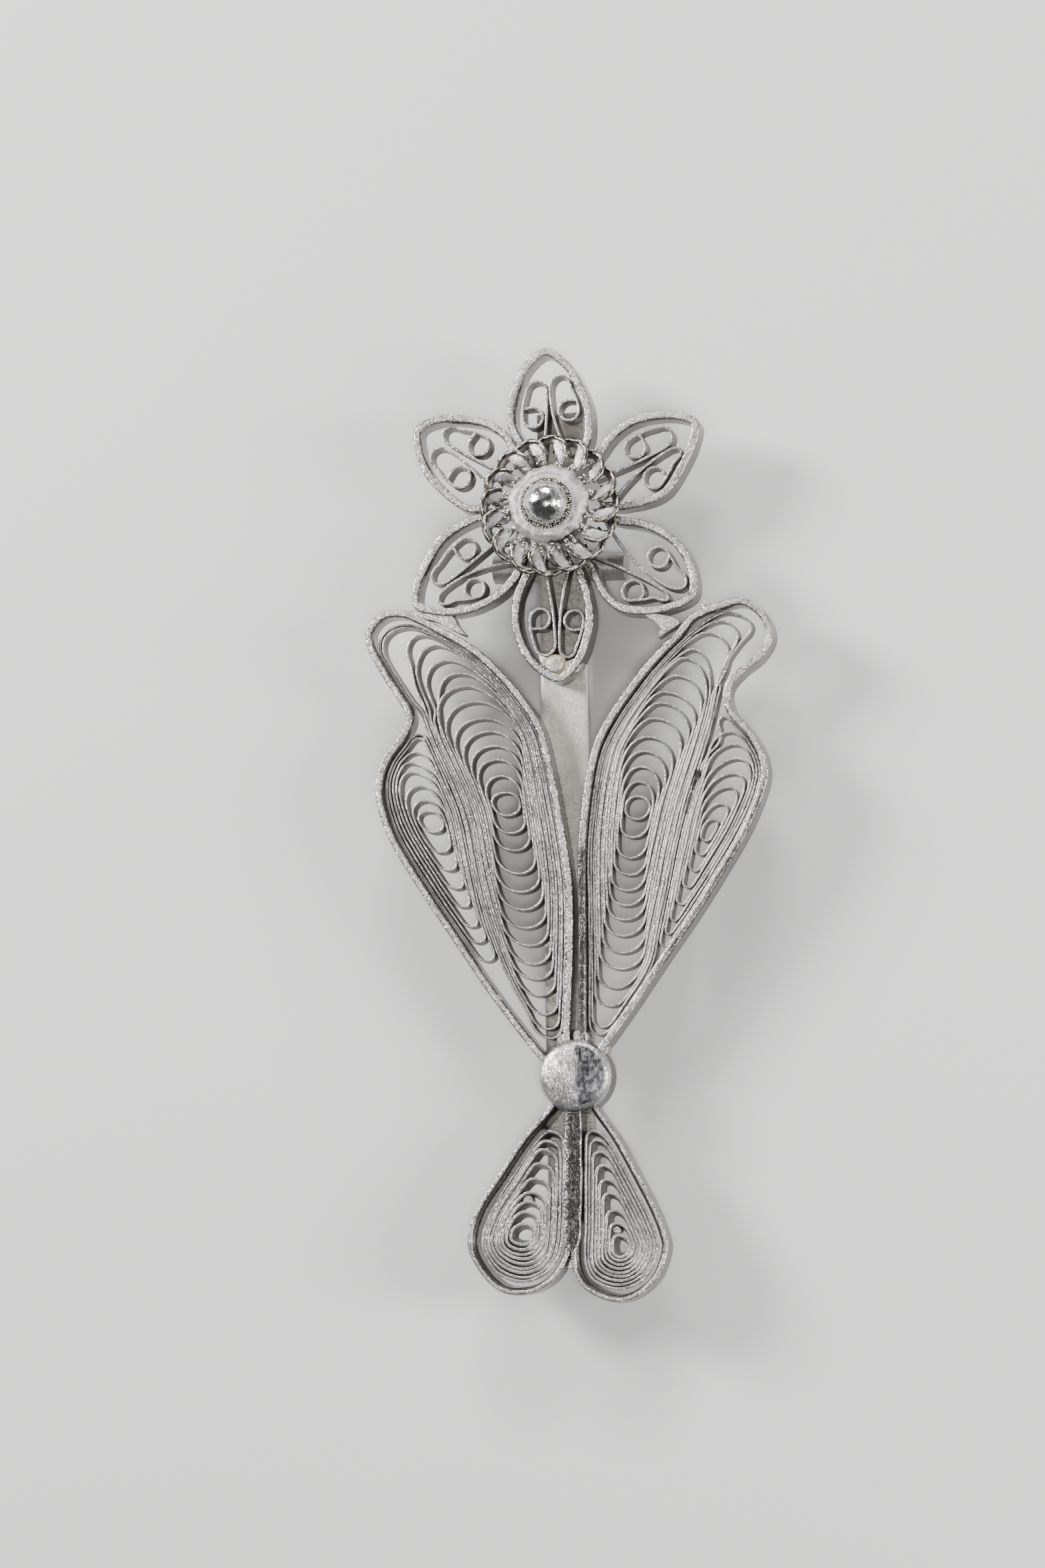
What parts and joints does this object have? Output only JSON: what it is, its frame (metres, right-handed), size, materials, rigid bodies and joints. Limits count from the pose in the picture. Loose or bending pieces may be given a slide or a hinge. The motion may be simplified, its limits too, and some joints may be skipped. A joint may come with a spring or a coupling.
{
  "type": "saree pin",
  "caption": "Silver filigree saree pin: a flower with a coiled rosette above leaves filled with ribbon coils, a waist button and a teardrop tail, with a pin and catch behind",
  "frame": {"origin": "centre of the bounding box in plan, at the level that the pin rests on", "axes": "+X to the wearer's left as the front is seen from above, +Y from the tail to the flower, +Z out of the front"},
  "size_m": [0.0316, 0.0721, 0.0094],
  "materials": {
    "polished_wire": "burnished silver wire, milled on its top edge",
    "frosted_ribbon": "frosted matte silver ribbon",
    "rope_wire": "twisted silver wire",
    "matte_collar": "matte silver",
    "mirror_ball": "polished silver",
    "polished_button": "worn polished silver",
    "aged_strip": "aged silver strip",
    "plain_pin": "drawn wire"
  },
  "bodies": {
    "root": {"petal_top": "polished_wire", "petal_upper_left": "polished_wire", "petal_lower_left": "polished_wire", "petal_bottom": "polished_wire", "petal_lower_right": "polished_wire", "petal_upper_right": "polished_wire", "scrolls_top": "frosted_ribbon", "scrolls_upper_left": "frosted_ribbon", "scrolls_lower_left": "frosted_ribbon", "scrolls_bottom": "frosted_ribbon", "scrolls_lower_right": "frosted_ribbon", "scrolls_upper_right": "frosted_ribbon", "coil_left_inner": "frosted_ribbon", "coil_left_outer": "frosted_ribbon", "coil_right_inner": "frosted_ribbon", "coil_right_outer": "frosted_ribbon", "coil_tail_left": "frosted_ribbon", "coil_tail_right": "frosted_ribbon", "rosette_loops": "rope_wire", "rosette_collar": "matte_collar", "rosette_ball": "mirror_ball", "leaf_frame_left": "polished_wire", "leaf_frame_right": "polished_wire", "waist_button": "polished_button", "tail_frame": "polished_wire", "back_strip": "aged_strip", "pin": "plain_pin", "catch": "plain_pin"}
  },
  "joints": []
}
